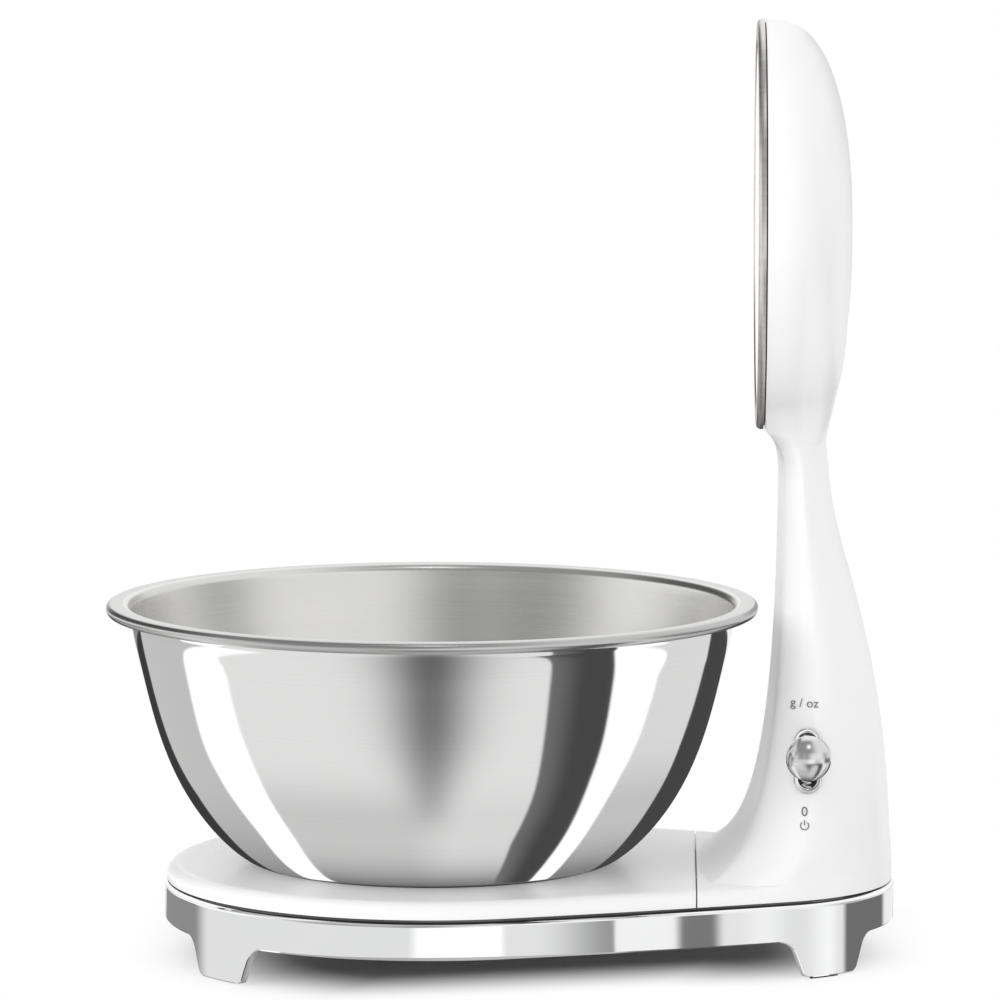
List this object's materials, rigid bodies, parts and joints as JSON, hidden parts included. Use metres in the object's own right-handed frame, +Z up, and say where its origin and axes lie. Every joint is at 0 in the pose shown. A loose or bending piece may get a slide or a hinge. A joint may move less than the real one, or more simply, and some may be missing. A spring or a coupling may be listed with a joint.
{
  "type": "kitchen scale",
  "caption": "Electronic kitchen scale: steel mixing bowl on a weighing platform, and a column with a round display and a ball lever on its side.",
  "frame": {"origin": "on the table, under the middle of the whole object's box", "axes": "+Z up, +X from the bowl to the column, -Y towards the lever's side"},
  "size_m": [0.266, 0.22, 0.3162],
  "materials": {
    "white_gloss": "glossy white moulding",
    "chrome": "bright chrome plating",
    "bowl_steel": "polished outside, satin inside",
    "dark_plastic": "matt moulding",
    "rubber": "matt rubber",
    "lens": "clear hard lens over a dark panel",
    "panel": "dark display panel",
    "board": "circuit board",
    "aluminium": "machined",
    "screw_steel": "zinc-plated",
    "slider_plastic": "natural moulding",
    "cell_wrap": "plain wrap",
    "contact_metal": "spring brass, tinned",
    "wire": "insulated wires"
  },
  "bodies": {
    "base": {"base_frame": "dark_plastic", "base_skirt": "chrome", "battery_box": "dark_plastic", "battery_cells": "cell_wrap", "battery_contacts": "contact_metal", "bottom_cover": "dark_plastic", "cell_screws_fixed": "screw_steel", "cell_spacer_lower": "aluminium", "column_screws": "screw_steel", "column_shell": "white_gloss", "column_trim": "chrome", "cover_screws": "screw_steel", "display_board": "board", "display_carrier": "dark_plastic", "display_lens": "lens", "display_panel": "panel", "display_ring": "chrome", "display_screws": "screw_steel", "display_seal": "rubber", "foot_pad_bowl_far_side": "rubber", "foot_pad_bowl_lever_side": "rubber", "foot_pad_column_far_side": "rubber", "foot_pad_column_lever_side": "rubber", "lever_escutcheon": "chrome", "lever_pin": "screw_steel", "load_cell": "aluminium", "main_board": "board", "return_spring_lower": "screw_steel", "return_spring_upper": "screw_steel", "switch_board": "board", "switch_housing": "dark_plastic", "wire_loom": "wire"},
    "platform": {"platform_cover": "white_gloss", "platform_trim": "chrome", "platform_screws": "screw_steel", "load_plate": "aluminium", "cell_spacer_upper": "aluminium", "cell_screws_free": "screw_steel"},
    "bowl": {"bowl": "bowl_steel"},
    "lever": {"lever": "chrome"},
    "switch_slider": {"switch_slider": "slider_plastic"},
    "battery_door": {"battery_door": "dark_plastic"}
  },
  "joints": [
    {"name": "platform_travel", "type": "slide", "parent": "base", "child": "platform", "axis": [0, 0, -1], "range_m": [0, 0.0005], "stiffness_N_per_m": 90000, "springref_m": -0.0002, "deforming": ["load_cell"]},
    {"name": "bowl_lift", "type": "slide", "parent": "platform", "child": "bowl", "axis": [-0.4472, 0, 0.8944], "range_m": [0, 0.18]},
    {"name": "lever_toggle", "type": "hinge", "parent": "base", "child": "lever", "pos_m": [0.103, -0.03121, 0.06984], "axis": [1, 0, 0], "range_deg": [-10, 10], "stiffness_Nm_per_rad": 0.4, "springref_deg": -0.52},
    {"name": "switch_slide", "type": "slide", "parent": "base", "child": "switch_slider", "axis": [0, 0.2049, 0.9788], "range_m": [-0.0012, 0.0012], "deforming": ["return_spring_upper", "return_spring_lower"]},
    {"name": "battery_door_hinge", "type": "hinge", "parent": "base", "child": "battery_door", "pos_m": [0.1, 0.01535, 0.0144], "axis": [1, 0, 0], "range_deg": [0, 95]}
  ],
  "couplings": [
    {"joint": "switch_slide", "follows": "lever_toggle", "m_per_rad": 0.006}
  ]
}
